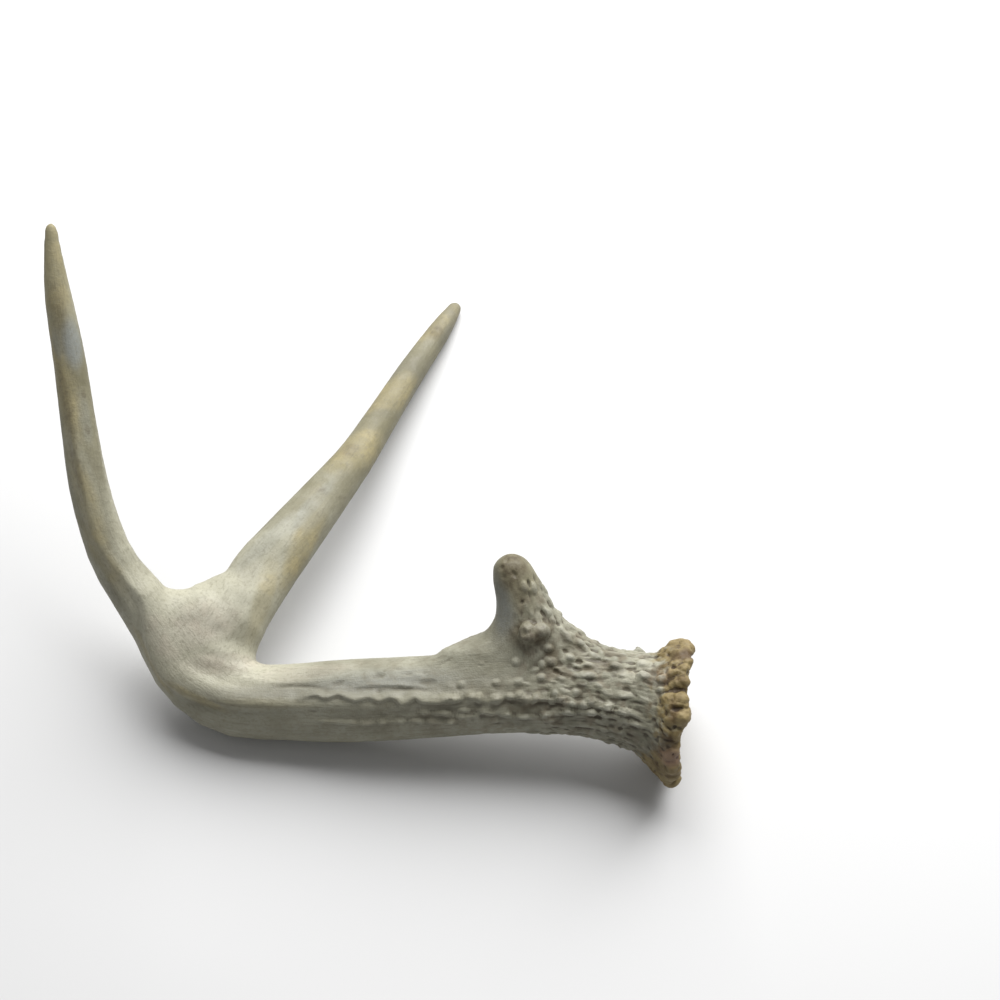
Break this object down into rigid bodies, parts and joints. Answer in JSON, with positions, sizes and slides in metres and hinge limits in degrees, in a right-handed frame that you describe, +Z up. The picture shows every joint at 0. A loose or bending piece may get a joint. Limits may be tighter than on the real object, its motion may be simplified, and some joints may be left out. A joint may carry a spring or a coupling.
{
  "type": "deer antler",
  "caption": "Deer antler lying down, with a knobbly burr at a sawn base, a main beam, a short brow tine and a forked end.",
  "frame": {"origin": "under the middle of the bounding box, on the surface that the antler lies on", "axes": "+X along the main beam from the fork to the burr, +Y to the side that the tines point to, +Z up"},
  "size_m": [0.2538, 0.2388, 0.1328],
  "materials": {
    "antler": "matt, dry antler bone, grey-cream, darker and stained brown among the pearls and at the burr"
  },
  "bodies": {
    "root": {"main_beam": "antler", "brow_tine": "antler", "second_tine": "antler", "beam_tip": "antler"}
  },
  "joints": []
}
